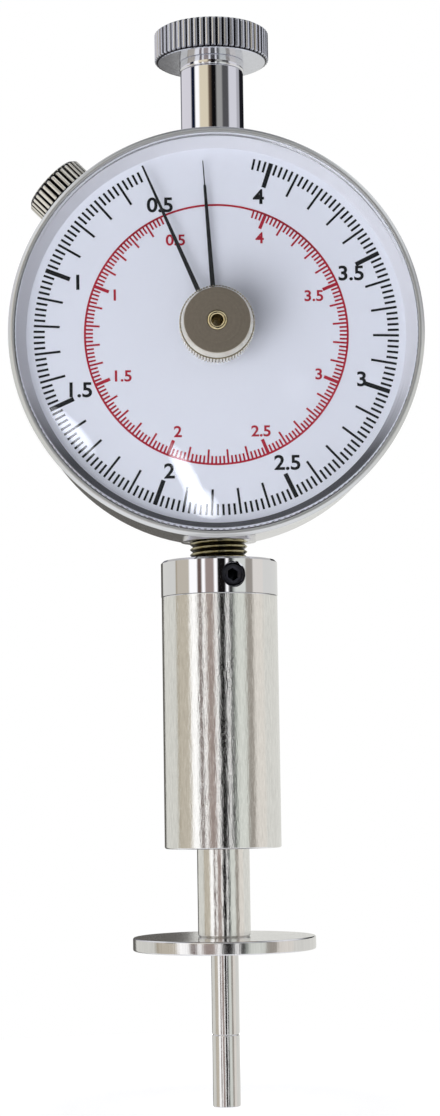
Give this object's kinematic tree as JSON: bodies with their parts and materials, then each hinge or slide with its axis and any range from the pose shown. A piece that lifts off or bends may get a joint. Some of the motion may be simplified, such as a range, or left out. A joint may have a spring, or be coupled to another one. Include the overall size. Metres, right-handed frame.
{
  "type": "hardness tester",
  "caption": "Hand-held push hardness tester: a thin press head and splash disc on a sprung plunger drive a round dial gauge with a zero-setting bezel, a peak hand and a reset knob.",
  "frame": {"origin": "centre of the press head's flat end face", "axes": "+Z along the plunger, from the press head up to the handle knob; -Y out of the dial, towards the reader; +X to the reader's right"},
  "size_m": [0.0528, 0.0292, 0.14],
  "materials": {
    "satin_nickel": "satin nickel plate",
    "steel_screw": "turned steel",
    "spring_steel": "bright spring steel",
    "chrome": "polished chrome plate",
    "warm_nickel": "polished nickel plate, fine lengthwise brush",
    "thread_nickel": "cut thread, dull nickel over brass",
    "stainless": "turned stainless steel",
    "bronze": "sintered bronze",
    "brass": "machined brass",
    "nylon": "natural nylon",
    "black_oxide": "black oxide",
    "black_paint": "matt black paint",
    "bezel_satin": "satin plated ring",
    "crystal": "clear acrylic crystal",
    "spacer_grey": "grey satin ring",
    "dial_white": "bluish white enamel with printed scales",
    "knob_nickel": "matt nickel"
  },
  "bodies": {
    "case": {"case_body": "satin_nickel", "back_cover": "satin_nickel", "back_cover_screws": "steel_screw", "snap_ring": "spring_steel", "handle_sleeve": "chrome", "upper_bush": "bronze", "handle_ferrule": "chrome", "handle_knob": "chrome", "threaded_stem": "thread_nickel", "stem_bush": "bronze", "barrel": "warm_nickel", "lower_bush": "bronze", "bumper_washer": "nylon", "spring_washer": "spring_steel", "force_spring": "spring_steel", "lock_collar": "chrome", "set_screw": "black_oxide", "front_plate": "brass", "middle_plate": "brass", "movement_bridge": "brass", "rear_pillars": "brass", "front_pillars": "brass", "movement_screws": "steel_screw", "bridge_screws": "steel_screw", "hairspring": "spring_steel", "hairspring_stud": "brass", "clamp_pad": "nylon"},
    "plunger": {"plunger_rod": "warm_nickel", "press_head": "stainless", "stop_disc": "stainless", "spring_seat": "spring_steel", "guide_pin": "spring_steel"},
    "idler": {"idler_arbor": "spring_steel", "rack_pinion": "brass", "train_gear": "brass"},
    "centre": {"centre_arbor": "spring_steel", "centre_pinion": "brass", "hairspring_collet": "brass", "drive_pointer": "black_paint", "pointer_hub": "brass"},
    "bezel": {"bezel_ring": "bezel_satin", "crystal": "crystal", "crystal_bush": "brass", "dial_spacer": "spacer_grey", "dial_plate": "dial_white", "friction_washer": "spring_steel"},
    "reset": {"reset_knob": "knob_nickel", "knob_rivet": "brass", "peak_pointer": "black_paint", "peak_pointer_hub": "brass"},
    "clamp": {"clamp_screw": "warm_nickel"}
  },
  "joints": [
    {"name": "plunger_slide", "type": "slide", "parent": "case", "child": "plunger", "axis": [0, 0, 1], "range_m": [0, 0.00776], "stiffness_N_per_m": 460, "springref_m": -0.0006, "deforming": ["force_spring"]},
    {"name": "idler_turn", "type": "hinge", "parent": "case", "child": "idler", "pos_m": [0.00455, 0, 0.08841], "axis": [0, -1, 0], "range_deg": [-139, 0]},
    {"name": "centre_turn", "type": "hinge", "parent": "case", "child": "centre", "pos_m": [0, 0, 0.09787], "axis": [0, -1, 0], "range_deg": [0, 347.5]},
    {"name": "bezel_turn", "type": "hinge", "parent": "case", "child": "bezel", "pos_m": [0, 0, 0.09787], "axis": [0, -1, 0], "continuous": true},
    {"name": "reset_turn", "type": "hinge", "parent": "bezel", "child": "reset", "pos_m": [0, 0, 0.09787], "axis": [0, -1, 0], "range_deg": [-19, 328]},
    {"name": "clamp_turn", "type": "hinge", "parent": "case", "child": "clamp", "pos_m": [-0.01909, -0.00365, 0.11696], "axis": [-0.7071, 0, 0.7071], "range_deg": [0, 180]}
  ],
  "couplings": [
    {"joint": "idler_turn", "follows": "plunger_slide", "rad_per_m": -312.5},
    {"joint": "centre_turn", "follows": "plunger_slide", "rad_per_m": 781.25}
  ]
}
